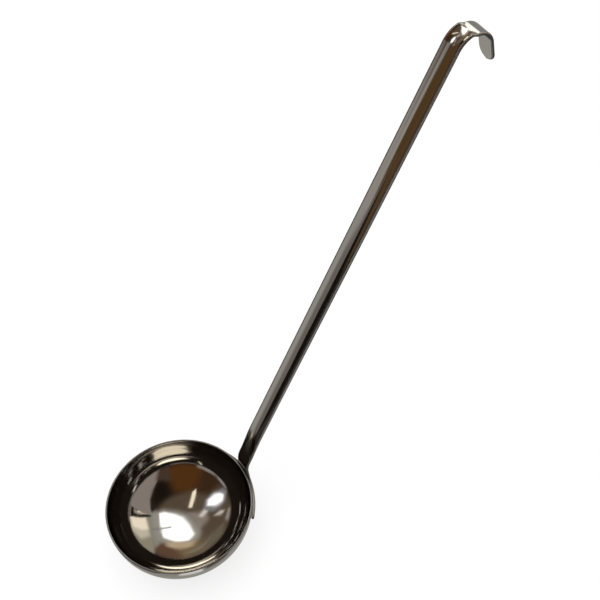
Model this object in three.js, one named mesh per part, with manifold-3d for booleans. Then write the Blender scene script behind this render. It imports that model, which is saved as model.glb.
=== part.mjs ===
import * as THREE from 'three';
import { mergeVertices } from 'three/addons/utils/BufferGeometryUtils.js';
import Module from 'manifold-3d';

// A ladle of polished stainless sheet: a deep round bowl and a pressed strap handle.
// The strap ends in a hook at the top and in a wide half-oval foot that is welded to the bowl's wall.
// Millimetres. +Z is up out of the bowl, +X points to the handle, the origin is under the bowl's middle.

// Bowl
const RIM_RADIUS = 50;
const BOWL_DEPTH = 38.2;
const BOWL_FULLNESS = 2.25;
const BOWL_SHEET = 1.2;
const BASE_FLAT_RADIUS = 6;

// Strap handle
const STRAP_SHEET = 1.8;
const STRAP_WIDTH = 13;
const STRAP_TOP_WIDTH = 13;
const STRAP_LENGTH = 318.5;
const STRAP_LEAN = THREE.MathUtils.degToRad(26.5);
const CHANNEL_DEPTH = 2.07;
const CHANNEL_RUN_IN = 24;
const CHANNEL_RUN_OUT = 3.6;
const CHANNEL_OVER_HOOK = 12.8;

// Neck between foot and strap
const NECK_WIDTH = 14.8;
const NECK_HEIGHT = 10.8;
const NECK_BEND_RADIUS = 20;

// Hook
const HOOK_RADIUS = 11.2;
const HOOK_SWEEP = THREE.MathUtils.degToRad(141);
const TONGUE_LENGTH = 15;
const TONGUE_WIDTH = 12;

// Foot and its welds
const FOOT_WIDTH = 66;
const FOOT_LENGTH = 25;
const FOOT_FLARE = 1;
const FOOT_SHOULDER = 9;
const WELD_RADIUS = 2.4;
const WELD_CROWN = 0.4;
const WELD_SPREAD = 36;
const WELD_DROP = 11;
const WELD_LOW_DROP = 18;

// Clearances that stand for the welded contact
const FOOT_GAP = 0.3;
const WELD_GAP = 0.3;

// Derived sizes
const FLAT_ANGLE = Math.asin((BASE_FLAT_RADIUS / RIM_RADIUS) ** (BOWL_FULLNESS / 2));
const RIM_HEIGHT = BOWL_DEPTH * Math.cos(FLAT_ANGLE) ** (2 / BOWL_FULLNESS);
const STRAP_OFFSET = FOOT_GAP + STRAP_SHEET / 2;
const TIP_WIDTH = 1.4 * STRAP_SHEET;

const steel = (colour, roughness) => new THREE.MeshStandardMaterial({ color: colour, roughness, metalness: 1 });

const named = (name, geometry, material) => {
  const mesh = new THREE.Mesh(geometry, material);
  mesh.name = name;
  return mesh;
};

const smooth = (from, to, value) => THREE.MathUtils.smoothstep(value, from, to);

// The bowl's meridian is a quarter of a superellipse: angle 0 at the bottom, a right angle at the rim.
// A fullness of 2 is an ellipse, and a larger one gives a steeper wall and a flatter bottom.
const meridian = (radius, depth, angle) => {
  const power = 2 / BOWL_FULLNESS;
  return new THREE.Vector2(radius * Math.sin(angle) ** power, RIM_HEIGHT - depth * Math.cos(angle) ** power);
};

// The place on the bowl's outside at a height below the rim, and how far the wall leans from upright there.
const wallAt = (drop) => {
  const angle = Math.acos((drop / BOWL_DEPTH) ** (BOWL_FULLNESS / 2));
  const slope = (RIM_RADIUS / BOWL_DEPTH) * Math.tan(angle) ** (2 / BOWL_FULLNESS - 2);
  return { place: meridian(RIM_RADIUS, BOWL_DEPTH, angle), lean: Math.atan(slope) };
};

function bowlGeometry() {
  const steps = 20;
  const profile = [new THREE.Vector2(0, 0)];
  for (let i = 0; i <= steps; i += 1) {
    const angle = THREE.MathUtils.lerp(FLAT_ANGLE, Math.PI / 2, i / steps);
    profile.push(meridian(RIM_RADIUS, BOWL_DEPTH, angle));
  }
  const edge = BOWL_SHEET / 2;
  for (let i = 1; i < 6; i += 1) {
    const turn = (Math.PI * i) / 6;
    profile.push(new THREE.Vector2(RIM_RADIUS - edge + edge * Math.cos(turn), RIM_HEIGHT + edge * Math.sin(turn)));
  }
  for (let i = steps; i >= 0; i -= 1) {
    profile.push(meridian(RIM_RADIUS - BOWL_SHEET, BOWL_DEPTH - BOWL_SHEET, (Math.PI / 2) * (i / steps)));
  }
  return new THREE.LatheGeometry(profile, 84).rotateX(Math.PI / 2);
}

// Every station of the strap holds its place in the XZ plane, its lean from upright, its width across
// and the height of its raised edges above its middle. The edges rise on the side that faces the bowl.
function footStations() {
  const outline = [];
  const bottom = FOOT_LENGTH - FOOT_SHOULDER;
  const last = Math.acos(TIP_WIDTH / FOOT_WIDTH);
  for (let i = 0; i <= 10; i += 1) {
    const turn = last * (1 - i / 10);
    outline.push({ drop: FOOT_SHOULDER + bottom * Math.sin(turn), width: FOOT_WIDTH * Math.cos(turn) });
  }
  for (let i = 1; i <= 8; i += 1) {
    const drop = FOOT_SHOULDER * (1 - i / 8);
    const flare = smooth(FOOT_FLARE, FOOT_SHOULDER, drop);
    outline.push({ drop, width: THREE.MathUtils.lerp(NECK_WIDTH, FOOT_WIDTH, flare) });
  }
  return outline.map(({ drop, width }) => {
    const { place, lean } = wallAt(drop);
    place.add(new THREE.Vector2(Math.cos(lean), -Math.sin(lean)).multiplyScalar(STRAP_OFFSET));
    const round = place.x / Math.cos(lean);
    return { place, lean, width, rise: round - Math.sqrt(round ** 2 - width ** 2 / 4) };
  });
}

function neckStations(rim) {
  const stations = [];
  const upright = NECK_HEIGHT - NECK_BEND_RADIUS * Math.tan(STRAP_LEAN / 2);
  for (let i = 1; i <= 3; i += 1) {
    const up = upright * (i / 3);
    const place = rim.place.clone().add(new THREE.Vector2(0, up));
    const width = THREE.MathUtils.lerp(NECK_WIDTH, STRAP_WIDTH, smooth(0, upright, up));
    stations.push({ place, lean: 0, width, rise: rim.rise });
  }
  const centre = stations.at(-1).place.clone().add(new THREE.Vector2(NECK_BEND_RADIUS, 0));
  for (let i = 1; i <= 6; i += 1) {
    const lean = STRAP_LEAN * (i / 6);
    const spoke = new THREE.Vector2(-Math.cos(lean), Math.sin(lean)).multiplyScalar(NECK_BEND_RADIUS);
    stations.push({ place: centre.clone().add(spoke), lean, width: STRAP_WIDTH, rise: rim.rise });
  }
  return stations;
}

function strapStations() {
  const stations = footStations();
  const { rise: neckRise } = stations.at(-1);
  stations.push(...neckStations(stations.at(-1)));

  const channelEnd = STRAP_LENGTH + CHANNEL_OVER_HOOK;
  const riseAt = (run) => {
    const pressed = THREE.MathUtils.lerp(neckRise, CHANNEL_DEPTH, smooth(0, CHANNEL_RUN_IN, run));
    return pressed * (1 - smooth(channelEnd - CHANNEL_RUN_OUT, channelEnd, run));
  };
  const along = new THREE.Vector2(Math.sin(STRAP_LEAN), Math.cos(STRAP_LEAN));
  const start = stations.at(-1).place;
  const runs = [];
  for (let i = 1; i <= 7; i += 1) {
    runs.push(CHANNEL_RUN_IN * (i / 7));
  }
  for (let i = 1; i <= 3; i += 1) {
    runs.push(THREE.MathUtils.lerp(CHANNEL_RUN_IN, STRAP_LENGTH, i / 3));
  }
  for (const run of runs) {
    const place = start.clone().addScaledVector(along, run);
    const width = THREE.MathUtils.lerp(STRAP_WIDTH, STRAP_TOP_WIDTH, run / STRAP_LENGTH);
    stations.push({ place, lean: STRAP_LEAN, width, rise: riseAt(run) });
  }

  const behind = new THREE.Vector2(Math.cos(STRAP_LEAN), -Math.sin(STRAP_LEAN));
  const hookCentre = stations.at(-1).place.clone().addScaledVector(behind, HOOK_RADIUS);
  for (let i = 1; i <= 36; i += 1) {
    const turn = HOOK_SWEEP * (i / 36);
    const lean = STRAP_LEAN + turn;
    const spoke = new THREE.Vector2(-Math.cos(lean), Math.sin(lean)).multiplyScalar(HOOK_RADIUS);
    const place = hookCentre.clone().add(spoke);
    const width = THREE.MathUtils.lerp(STRAP_TOP_WIDTH, TONGUE_WIDTH, i / 36);
    stations.push({ place, lean, width, rise: riseAt(STRAP_LENGTH + HOOK_RADIUS * turn) });
  }

  const { place: tongueStart, lean } = stations.at(-1);
  const down = new THREE.Vector2(Math.sin(lean), Math.cos(lean));
  const half = TONGUE_WIDTH / 2;
  const last = Math.acos(TIP_WIDTH / TONGUE_WIDTH);
  for (let i = 0; i <= 8; i += 1) {
    const turn = last * (i / 8);
    const place = tongueStart.clone().addScaledVector(down, TONGUE_LENGTH - half + half * Math.sin(turn));
    stations.push({ place, lean, width: TONGUE_WIDTH * Math.cos(turn), rise: 0 });
  }
  return stations;
}

// One cross-section as a closed loop: the face towards the bowl, a rounded edge, the back, a rounded edge.
function sectionLoop({ place, lean, width, rise }) {
  const across = 10;
  const round = 4;
  const half = width / 2;
  const sweep = 2 * Math.atan2(rise, half);
  const radius = rise > 0 ? (half ** 2 + rise ** 2) / (2 * rise) : 0;
  const flat = radius === 0;
  const skin = STRAP_SHEET / 2;
  const inset = flat ? 1 - skin / half : 1 - skin / (radius * sweep);
  const at = (side, offset, beside) => {
    const turn = side * sweep * inset;
    const y = flat ? side * half * inset : radius * Math.sin(turn);
    const up = flat ? 0 : radius * (1 - Math.cos(turn));
    const front = up + offset * Math.cos(turn) + beside * Math.sin(turn);
    const sideways = y - offset * Math.sin(turn) + beside * Math.cos(turn);
    return new THREE.Vector3(
      place.x - front * Math.cos(lean),
      sideways,
      place.y + front * Math.sin(lean),
    );
  };
  const loop = [];
  for (let i = 0; i <= across; i += 1) {
    loop.push(at(-1 + (2 * i) / across, skin, 0));
  }
  for (let i = 1; i < round; i += 1) {
    const turn = (Math.PI * i) / round;
    loop.push(at(1, skin * Math.cos(turn), skin * Math.sin(turn)));
  }
  for (let i = across; i >= 0; i -= 1) {
    loop.push(at(-1 + (2 * i) / across, -skin, 0));
  }
  for (let i = 1; i < round; i += 1) {
    const turn = (Math.PI * i) / round;
    loop.push(at(-1, -skin * Math.cos(turn), -skin * Math.sin(turn)));
  }
  return loop;
}

function strapGeometry() {
  const loops = strapStations().map(sectionLoop);
  const size = loops[0].length;
  const points = loops.flat();
  const index = [];
  for (let s = 0; s + 1 < loops.length; s += 1) {
    for (let i = 0; i < size; i += 1) {
      const a = s * size + i;
      const b = s * size + ((i + 1) % size);
      index.push(a, a + size, b, b, a + size, b + size);
    }
  }
  for (const [first, turned] of [[0, true], [(loops.length - 1) * size, false]]) {
    const middle = new THREE.Vector3();
    for (let i = 0; i < size; i += 1) {
      middle.addScaledVector(points[first + i], 1 / size);
    }
    points.push(middle);
    for (let i = 0; i < size; i += 1) {
      const a = first + i;
      const b = first + ((i + 1) % size);
      index.push(...(turned ? [a, b, points.length - 1] : [b, a, points.length - 1]));
    }
  }
  const geometry = new THREE.BufferGeometry().setFromPoints(points);
  geometry.setIndex(index);
  return geometry;
}

// A weld sits square to the bowl's wall: turned round the bowl by an angle, and set down from the rim.
function weldFrame({ drop, turn }) {
  const { place: wall, lean } = wallAt(drop);
  const frame = new THREE.Matrix4().makeRotationZ(turn);
  frame.multiply(new THREE.Matrix4().makeTranslation(wall.x, 0, wall.y));
  frame.multiply(new THREE.Matrix4().makeRotationY(Math.PI / 2 + lean));
  return frame.multiply(new THREE.Matrix4().makeRotationX(Math.PI / 2));
}

function weldGeometry(weld) {
  const top = FOOT_GAP + STRAP_SHEET;
  const profile = [new THREE.Vector2(0, WELD_GAP), new THREE.Vector2(WELD_RADIUS, WELD_GAP)];
  for (let i = 0; i <= 4; i += 1) {
    const turn = (Math.PI / 2) * (i / 4);
    profile.push(new THREE.Vector2(WELD_RADIUS * Math.cos(turn), top + WELD_CROWN * Math.sin(turn)));
  }
  profile.at(-1).x = 0;
  return new THREE.LatheGeometry(profile, 24).applyMatrix4(weldFrame(weld));
}

function weldHoleGeometry(weld) {
  const length = 4 * (STRAP_OFFSET + STRAP_SHEET);
  const hole = new THREE.CylinderGeometry(WELD_RADIUS + WELD_GAP, WELD_RADIUS + WELD_GAP, length, 24);
  return hole.applyMatrix4(weldFrame(weld));
}

const wasm = await Module();
wasm.setup();

function toSolid(geometry) {
  const plain = geometry.clone();
  plain.deleteAttribute('normal');
  plain.deleteAttribute('uv');
  const welded = mergeVertices(plain, 1e-4);
  const mesh = new wasm.Mesh({
    numProp: 3,
    vertProperties: new Float32Array(welded.attributes.position.array),
    triVerts: new Uint32Array(welded.index.array),
  });
  return new wasm.Manifold(mesh);
}

function toGeometry(solid) {
  const mesh = solid.getMesh();
  const geometry = new THREE.BufferGeometry();
  geometry.setAttribute('position', new THREE.BufferAttribute(new Float32Array(mesh.vertProperties), 3));
  geometry.setIndex(new THREE.BufferAttribute(new Uint32Array(mesh.triVerts), 1));
  geometry.computeVertexNormals();
  return geometry;
}

// Welds stand in a triangle: two near the foot's ends, one lower down on its middle line.
const sideTurn = WELD_SPREAD / 2 / RIM_RADIUS;
const welds = {
  spot_weld_left: { drop: WELD_DROP, turn: sideTurn },
  spot_weld_right: { drop: WELD_DROP, turn: -sideTurn },
  spot_weld_lower: { drop: WELD_LOW_DROP, turn: 0 },
};

let strap = toSolid(strapGeometry());
for (const weld of Object.values(welds)) {
  strap = strap.subtract(toSolid(weldHoleGeometry(weld)));
}

const ladle = new THREE.Group();
ladle.name = 'ladle';
ladle.add(named('bowl', bowlGeometry(), steel(0xb9b6b1, 0.12)));
ladle.add(named('handle', toGeometry(strap), steel(0xb4b1ab, 0.16)));
for (const [name, weld] of Object.entries(welds)) {
  ladle.add(named(name, weldGeometry(weld), steel(0xa29c92, 0.4)));
}

export default ladle;
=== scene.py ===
# %% [markdown]
# # A polished steel ladle
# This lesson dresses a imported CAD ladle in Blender. The frame comes first: it holds the solids in metres,
# with the bowl's flat on the floor, +Z out of the bowl and +X towards the handle. Its box is kept,
# because the dressed ladle has to keep the solids' size.

# %% Load the frame
import math
from functools import partial

import bmesh
import bpy
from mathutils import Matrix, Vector


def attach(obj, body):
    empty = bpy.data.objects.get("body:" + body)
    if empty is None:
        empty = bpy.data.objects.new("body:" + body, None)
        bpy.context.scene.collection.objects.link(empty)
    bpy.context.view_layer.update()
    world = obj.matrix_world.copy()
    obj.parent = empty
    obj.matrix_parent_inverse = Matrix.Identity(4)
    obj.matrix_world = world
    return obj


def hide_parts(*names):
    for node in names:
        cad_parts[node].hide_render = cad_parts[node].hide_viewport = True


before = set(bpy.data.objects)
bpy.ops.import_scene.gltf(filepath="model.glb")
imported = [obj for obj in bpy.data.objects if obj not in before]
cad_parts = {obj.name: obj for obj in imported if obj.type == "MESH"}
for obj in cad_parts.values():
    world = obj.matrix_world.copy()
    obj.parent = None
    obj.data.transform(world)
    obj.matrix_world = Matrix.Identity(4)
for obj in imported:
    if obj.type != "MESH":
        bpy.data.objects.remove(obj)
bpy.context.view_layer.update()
scene = bpy.context.scene
scene.view_settings.view_transform = "Standard"

# %% [markdown]
# ## Camera
# The photograph looks down into the bowl from the left of the handle. A camera could be aimed by hand,
# but its place and turn were fitted to the picture for a square frame and a 60 mm lens, so they are simply
# written down.

# %% Place the camera
CAMERA_PLACE = (-0.07720, -0.31307, 0.65958)
CAMERA_TURN = (37.7732, 1.3506, -31.3863)


def put(name, data):
    thing = bpy.data.objects.new(name, data)
    scene.collection.objects.link(thing)
    return thing


camera_data = bpy.data.cameras.new("ladle_camera")
camera_data.lens = 60.0
camera_data.sensor_width = 36.0
camera_data.clip_end = 50.0
camera = put("ladle_camera", camera_data)
camera.location = CAMERA_PLACE
camera.rotation_euler = [math.radians(turn) for turn in CAMERA_TURN]
scene.camera = camera
print("camera at", tuple(camera.location))

# %% [markdown]
# ## The ladle's sizes
# The sizes are those of the solids. The wall of the bowl follows a superellipse: like an ellipse, but
# with a steeper wall and a flatter bottom, as a deep-drawn bowl has.

# %% Sizes in metres
RIM_RADIUS = 0.050
BOWL_DEPTH = 0.0382
BOWL_FULLNESS = 2.25
BOWL_SHEET = 0.0012
FLAT_RADIUS = 0.006
FLAT_ANGLE = math.asin((FLAT_RADIUS / RIM_RADIUS) ** (BOWL_FULLNESS / 2))
RIM_HEIGHT = BOWL_DEPTH * math.cos(FLAT_ANGLE) ** (2 / BOWL_FULLNESS)

# %% [markdown]
# ## Helpers for node trees
# A Geometry Nodes tree is made of many small sums, so a few helpers keep the cells short. One sets an
# input by its value or by a link, one adds a Math node and gives back its output, and one adds any other
# node with its inputs. The last two give a tree its sockets and start a tree that takes sizes.

# %% Node helpers
def feed(tree, socket, value):
    if isinstance(value, bpy.types.NodeSocket):
        tree.links.new(value, socket)
    else:
        socket.default_value = value


def calc(tree, operation, *values):
    node = tree.nodes.new("ShaderNodeMath")
    node.operation = operation
    for socket, value in zip(node.inputs, values):
        feed(tree, socket, value)
    return node.outputs[0]


def add_node(tree, kind, **inputs):
    node = tree.nodes.new(kind)
    for name, value in inputs.items():
        feed(tree, node.inputs[name.replace("_", " ")], value)
    return node


def add_sockets(tree, way, kinds):
    made = {}
    for label, kind in kinds.items():
        socket = tree.interface.new_socket(label, in_out=way, socket_type="NodeSocket" + kind)
        made[label] = socket.identifier
    return made


def new_tree(name, sizes, **others):
    tree = bpy.data.node_groups.new(name, "GeometryNodeTree")
    kinds = {**others, **dict.fromkeys(sizes, "Float"), "Material": "Material"}
    identifiers = add_sockets(tree, "INPUT", kinds)
    add_sockets(tree, "OUTPUT", {"Geometry": "Geometry"})
    return tree, tree.nodes.new("NodeGroupInput"), identifiers


print("node helpers ready")

# %% [markdown]
# ## Turned surfaces
# The bowl and the weld marks are turned shapes: a line swept round an axis. Blender's Screw modifier
# could do it from a drawn line, but the line here is a formula, so a flat grid is bent instead: one side
# of the grid becomes the turn round the axis, the other runs along the line.

# %% Bend a grid into a turned surface
MERGE_DISTANCE = 2e-6


def turned_surface(tree, around, along, line):
    grid = add_node(
        tree,
        "GeometryNodeMeshGrid",
        Size_X=1.0,
        Size_Y=1.0,
        Vertices_X=around + 1,
        Vertices_Y=along + 1,
    )
    position = tree.nodes.new("GeometryNodeInputPosition").outputs[0]
    where = add_node(tree, "ShaderNodeSeparateXYZ", Vector=position)
    turn = calc(tree, "MULTIPLY", calc(tree, "ADD", where.outputs["X"], 0.5), 2 * math.pi)
    share = calc(tree, "ADD", where.outputs["Y"], 0.5)
    radius, height = line(share)
    place = add_node(
        tree,
        "ShaderNodeCombineXYZ",
        X=calc(tree, "MULTIPLY", radius, calc(tree, "COSINE", turn)),
        Y=calc(tree, "MULTIPLY", radius, calc(tree, "SINE", turn)),
        Z=height,
    )
    bent = add_node(tree, "GeometryNodeSetPosition", Geometry=grid.outputs["Mesh"], Position=place.outputs[0])
    return bent.outputs["Geometry"]


def join(tree, *parts):
    node = tree.nodes.new("GeometryNodeJoinGeometry")
    for part in parts:
        tree.links.new(part, node.inputs[0])
    return node.outputs[0]


def close_tree(tree, geometry, material):
    real = add_node(tree, "GeometryNodeRealizeInstances", Geometry=geometry)
    merged = add_node(tree, "GeometryNodeMergeByDistance", Geometry=real.outputs[0], Distance=MERGE_DISTANCE)
    shaded = add_node(tree, "GeometryNodeSetShadeSmooth", Geometry=merged.outputs[0])
    finish = add_node(tree, "GeometryNodeSetMaterial", Geometry=shaded.outputs[0], Material=material)
    end = tree.nodes.new("NodeGroupOutput")
    tree.links.new(finish.outputs[0], end.inputs[0])


print("turned surfaces ready, points within", MERGE_DISTANCE, "m are merged")

# %% Turn a tree into a plain mesh
MM3_IN_M3 = 1e9


def face_outwards(mesh):
    body = bmesh.new()
    body.from_mesh(mesh)
    bmesh.ops.recalc_face_normals(body, faces=body.faces)
    volume = body.calc_volume(signed=True)
    if volume < 0:
        bmesh.ops.reverse_faces(body, faces=body.faces)
    open_edges = sum(1 for edge in body.edges if len(edge.link_faces) != 2)
    body.to_mesh(mesh)
    body.free()
    return open_edges, round(abs(volume) * MM3_IN_M3, 1)


def grown(name, tree, identifiers, values):
    seed = put(name + "_seed", bpy.data.meshes.new(name + "_seed"))
    modifier = seed.modifiers.new("rule", "NODES")
    modifier.node_group = tree
    for label, value in values.items():
        modifier[identifiers[label]] = value
    graph = bpy.context.evaluated_depsgraph_get()
    plain = bpy.data.meshes.new_from_object(seed.evaluated_get(graph))
    bpy.data.objects.remove(seed)
    plain.name = name
    open_edges, volume = face_outwards(plain)
    print(name, len(plain.polygons), "faces,", open_edges, "open edges,", volume, "mm3")
    return put(name, plain)


print("trees can be grown into plain meshes")

# %% [markdown]
# ## Steel finishes
# Stainless steel shows almost nothing but its surroundings. What makes it real are small faults of the
# polish: fine lines left by the wheel, a faint haze where hands have been, and a slight change of tint.
# Each is used by more than one finish, so each is a shader group with its own inputs. A picture of
# scratches would be quicker, but a rule stays sharp at any distance.

# %% Shader group helpers
def shader_group(name, inputs, outputs):
    tree = bpy.data.node_groups.new(name, "ShaderNodeTree")
    add_sockets(tree, "INPUT", inputs)
    add_sockets(tree, "OUTPUT", outputs)
    return tree, tree.nodes.new("NodeGroupInput"), tree.nodes.new("NodeGroupOutput")


def ramp(tree, value, low, high):
    node = add_node(tree, "ShaderNodeMapRange", Value=value, From_Min=low, From_Max=high)
    node.interpolation_type = "SMOOTHSTEP"
    return node.outputs["Result"]


print("shader group helpers ready")

# %% Polishing lines: long fine grooves along one direction of the pattern
DEEP_GROOVE, MASK_TOP, MASK_EASE = 0.55, 0.3, 0.1
polish_lines, start, end = shader_group(
    "polish_lines",
    {"Vector": "Vector", "Lines": "Float", "Drawn out": "Float"},
    {"Height": "Float", "Mask": "Float"},
)
groove_calc = partial(calc, polish_lines)
split = add_node(polish_lines, "ShaderNodeSeparateXYZ", Vector=start.outputs["Vector"])
dense = {axis: groove_calc("MULTIPLY", split.outputs[axis], start.outputs["Lines"]) for axis in "XYZ"}
dense["Y"] = groove_calc("DIVIDE", dense["Y"], start.outputs["Drawn out"])
stretched = add_node(polish_lines, "ShaderNodeCombineXYZ", **dense)
grooves = add_node(
    polish_lines,
    "ShaderNodeTexNoise",
    Vector=stretched.outputs[0],
    Scale=1.0,
    Detail=3.0,
    Roughness=0.6,
)
deep = groove_calc("MAXIMUM", groove_calc("SUBTRACT", grooves.outputs[0], DEEP_GROOVE), 0.0)
feed(polish_lines, end.inputs["Height"], grooves.outputs[0])
feed(polish_lines, end.inputs["Mask"], groove_calc("SMOOTH_MIN", deep, MASK_TOP, MASK_EASE))
print("group", polish_lines.name)

# %% Hand haze: soft smudges that dull the polish a little
HAZE_FROM, HAZE_TO = 0.45, 0.75
hand_haze, start, end = shader_group(
    "hand_haze",
    {"Vector": "Vector", "Size": "Float", "Amount": "Float"},
    {"Haze": "Float"},
)
clouds = add_node(
    hand_haze,
    "ShaderNodeTexNoise",
    Vector=start.outputs["Vector"],
    Scale=calc(hand_haze, "DIVIDE", 1.0, start.outputs["Size"]),
    Detail=4.0,
    Roughness=0.55,
    Distortion=0.4,
)
smudges = ramp(hand_haze, clouds.outputs[0], HAZE_FROM, HAZE_TO)
feed(hand_haze, end.inputs["Haze"], calc(hand_haze, "MULTIPLY", smudges, start.outputs["Amount"]))
print("group", hand_haze.name)

# %% Steel tint: the metal's colour drifts a little between a cool and a warm grey
# A Mix node holds a set of sockets for each kind of value. These are the ones for colours.
MIX_SHARE, MIX_FIRST, MIX_SECOND, MIX_RESULT = 0, 6, 7, 2
steel_tint, start, end = shader_group(
    "steel_tint",
    {"Vector": "Vector", "Cool": "Color", "Warm": "Color", "Size": "Float"},
    {"Color": "Color"},
)
drift = add_node(
    steel_tint,
    "ShaderNodeTexNoise",
    Vector=start.outputs["Vector"],
    Scale=calc(steel_tint, "DIVIDE", 1.0, start.outputs["Size"]),
    Detail=2.0,
)
blend = steel_tint.nodes.new("ShaderNodeMix")
blend.data_type = "RGBA"
feed(steel_tint, blend.inputs[MIX_SHARE], drift.outputs[0])
feed(steel_tint, blend.inputs[MIX_FIRST], start.outputs["Cool"])
feed(steel_tint, blend.inputs[MIX_SECOND], start.outputs["Warm"])
feed(steel_tint, end.inputs["Color"], blend.outputs[MIX_RESULT])
print("group", steel_tint.name)

# %% [markdown]
# ## The bowl's mirror polish
# The bowl was polished while it turned, so its fine lines run round its axis. The pattern's coordinates
# are the distance from the axis and the height, read from Object coordinates. The lip of the rim and the
# ground flat below are duller than the wall. The lip's colour is also darker, a painted shade that dims
# the bright line it reflects. Masks on the height give both.

# %% Helpers for the steel finishes
# The second number is painted shade: it darkens the colour of the rim's lip and the strap's cut edges, to dim
# what they reflect.
EDGE_DULLER, EDGE_PAINTED_SHADE, BUMP_DEPTH = 0.30, 0.45, 0.0002


def new_finish(name):
    material = bpy.data.materials.new(name)
    material.use_nodes = True
    tree = material.node_tree
    shader = tree.nodes["Principled BSDF"]
    shader.inputs["Metallic"].default_value = 1.0
    coords = tree.nodes.new("ShaderNodeTexCoord").outputs["Object"]
    return material, tree, shader, coords


def use_group(tree, group, **inputs):
    node = tree.nodes.new("ShaderNodeGroup")
    node.node_tree = group
    for name, value in inputs.items():
        feed(tree, node.inputs[name.replace("_", " ")], value)
    return node


def worn(tree, polished, haze, lines, by_lines):
    hazy = calc(tree, "ADD", polished, haze.outputs["Haze"])
    return calc(tree, "ADD", hazy, calc(tree, "MULTIPLY", lines.outputs["Mask"], by_lines))


# Painted shade: scales the colour down where the mask is, so the marked edges reflect less light.
def with_painted_shade(tree, colour, mask):
    shade = add_node(tree, "ShaderNodeVectorMath", Vector=colour)
    shade.operation = "SCALE"
    feed(tree, shade.inputs["Scale"], calc(tree, "SUBTRACT", 1.0, calc(tree, "MULTIPLY", mask, EDGE_PAINTED_SHADE)))
    return shade.outputs[0]


def grooved(tree, shader, height, strength):
    groove = add_node(tree, "ShaderNodeBump", Height=height, Strength=strength, Distance=BUMP_DEPTH)
    feed(tree, shader.inputs["Normal"], groove.outputs["Normal"])


def from_axis(tree, x, y):
    return calc(tree, "SQRT", calc(tree, "ADD", calc(tree, "POWER", x, 2.0), calc(tree, "POWER", y, 2.0)))


print("edges are", EDGE_DULLER, "rougher and", EDGE_PAINTED_SHADE, "darker")

# %% Bowl finish
BOWL_COOL, BOWL_WARM = (0.535, 0.53, 0.52, 1.0), (0.555, 0.535, 0.505, 1.0)
LIP_FROM, LIP_TO = RIM_HEIGHT - 0.0002, RIM_HEIGHT + 0.0001
FLAT_TOP, FLAT_DULLER = 0.00005, 0.22
RING_WANDER, RING_SHIFT = 0.0006, 0.02
bowl_polish, tree, shader, coords = new_finish("bowl_polish")
axes = add_node(tree, "ShaderNodeSeparateXYZ", Vector=coords)
ring_radius = from_axis(tree, axes.outputs["X"], axes.outputs["Y"])
wander = add_node(tree, "ShaderNodeTexNoise", Vector=coords, Scale=40.0, Detail=1.0)
rings = add_node(
    tree,
    "ShaderNodeCombineXYZ",
    X=calc(tree, "ADD", ring_radius, calc(tree, "MULTIPLY", wander.outputs[0], RING_WANDER)),
    Y=calc(tree, "MULTIPLY", wander.outputs[0], RING_SHIFT),
    Z=axes.outputs["Z"],
)
lines = use_group(tree, polish_lines, Vector=rings.outputs[0], Lines=2600.0, Drawn_out=3.0)
haze = use_group(tree, hand_haze, Vector=coords, Size=0.018, Amount=0.035)
tint = use_group(tree, steel_tint, Vector=coords, Cool=BOWL_COOL, Warm=BOWL_WARM, Size=0.03)
lip = ramp(tree, axes.outputs["Z"], LIP_FROM, LIP_TO)
on_flat = calc(tree, "LESS_THAN", axes.outputs["Z"], FLAT_TOP)
dull_lip = calc(tree, "MULTIPLY", lip, EDGE_DULLER)
dull = calc(tree, "ADD", dull_lip, calc(tree, "MULTIPLY", on_flat, FLAT_DULLER))
feed(tree, shader.inputs["Roughness"], calc(tree, "ADD", worn(tree, 0.06, haze, lines, 0.15), dull))
# Painted shade on the lip: its colour is darkened to dim the line it reflects.
feed(tree, shader.inputs["Base Color"], with_painted_shade(tree, tint.outputs["Color"], lip))
grooved(tree, shader, lines.outputs["Height"], 0.015)
print("finish", bowl_polish.name)

# %% [markdown]
# ## The bowl
# A bowl like this is drawn from a disc of sheet and has no seam, so it is one turned surface: a ground
# flat, the outer wall, a half-round rim and the inner wall, all from the same formula. The Geometry Nodes
# tree takes the sizes as inputs, so a deeper or fuller bowl is one number away.

# %% The bowl's tree: its sizes and its lines
BOWL_INPUTS = ["Rim radius", "Depth", "Fullness", "Sheet", "Flat radius"]
bowl_tree, start, bowl_sizes = new_tree("bowl_rule", BOWL_INPUTS)
bowl_calc = partial(calc, bowl_tree)
size = start.outputs
power = bowl_calc("DIVIDE", 2.0, size["Fullness"])
narrowing = bowl_calc("DIVIDE", size["Flat radius"], size["Rim radius"])
flat_sine = bowl_calc("POWER", narrowing, bowl_calc("DIVIDE", size["Fullness"], 2.0))
flat_angle = bowl_calc("ARCSINE", flat_sine)
flat_down = bowl_calc("POWER", bowl_calc("COSINE", flat_angle), power)
rim_height = bowl_calc("MULTIPLY", size["Depth"], flat_down)


def wall_line(radius, depth, first):
    def line(share):
        rest = bowl_calc("SUBTRACT", math.pi / 2, first)
        angle = bowl_calc("ADD", first, bowl_calc("MULTIPLY", share, rest))
        out = bowl_calc("POWER", bowl_calc("SINE", angle), power)
        down = bowl_calc("POWER", bowl_calc("MAXIMUM", bowl_calc("COSINE", angle), 0.0), power)
        height = bowl_calc("SUBTRACT", rim_height, bowl_calc("MULTIPLY", depth, down))
        return bowl_calc("MULTIPLY", radius, out), height

    return line


def rim_line(share):
    edge = bowl_calc("MULTIPLY", size["Sheet"], 0.5)
    turn = bowl_calc("MULTIPLY", share, math.pi)
    middle = bowl_calc("SUBTRACT", size["Rim radius"], edge)
    out = bowl_calc("ADD", middle, bowl_calc("MULTIPLY", edge, bowl_calc("COSINE", turn)))
    return out, bowl_calc("ADD", rim_height, bowl_calc("MULTIPLY", edge, bowl_calc("SINE", turn)))


def flat_line(share):
    return bowl_calc("MULTIPLY", size["Flat radius"], share), 0.0


print("tree", bowl_tree.name, "has", len(bowl_sizes), "inputs")

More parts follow.
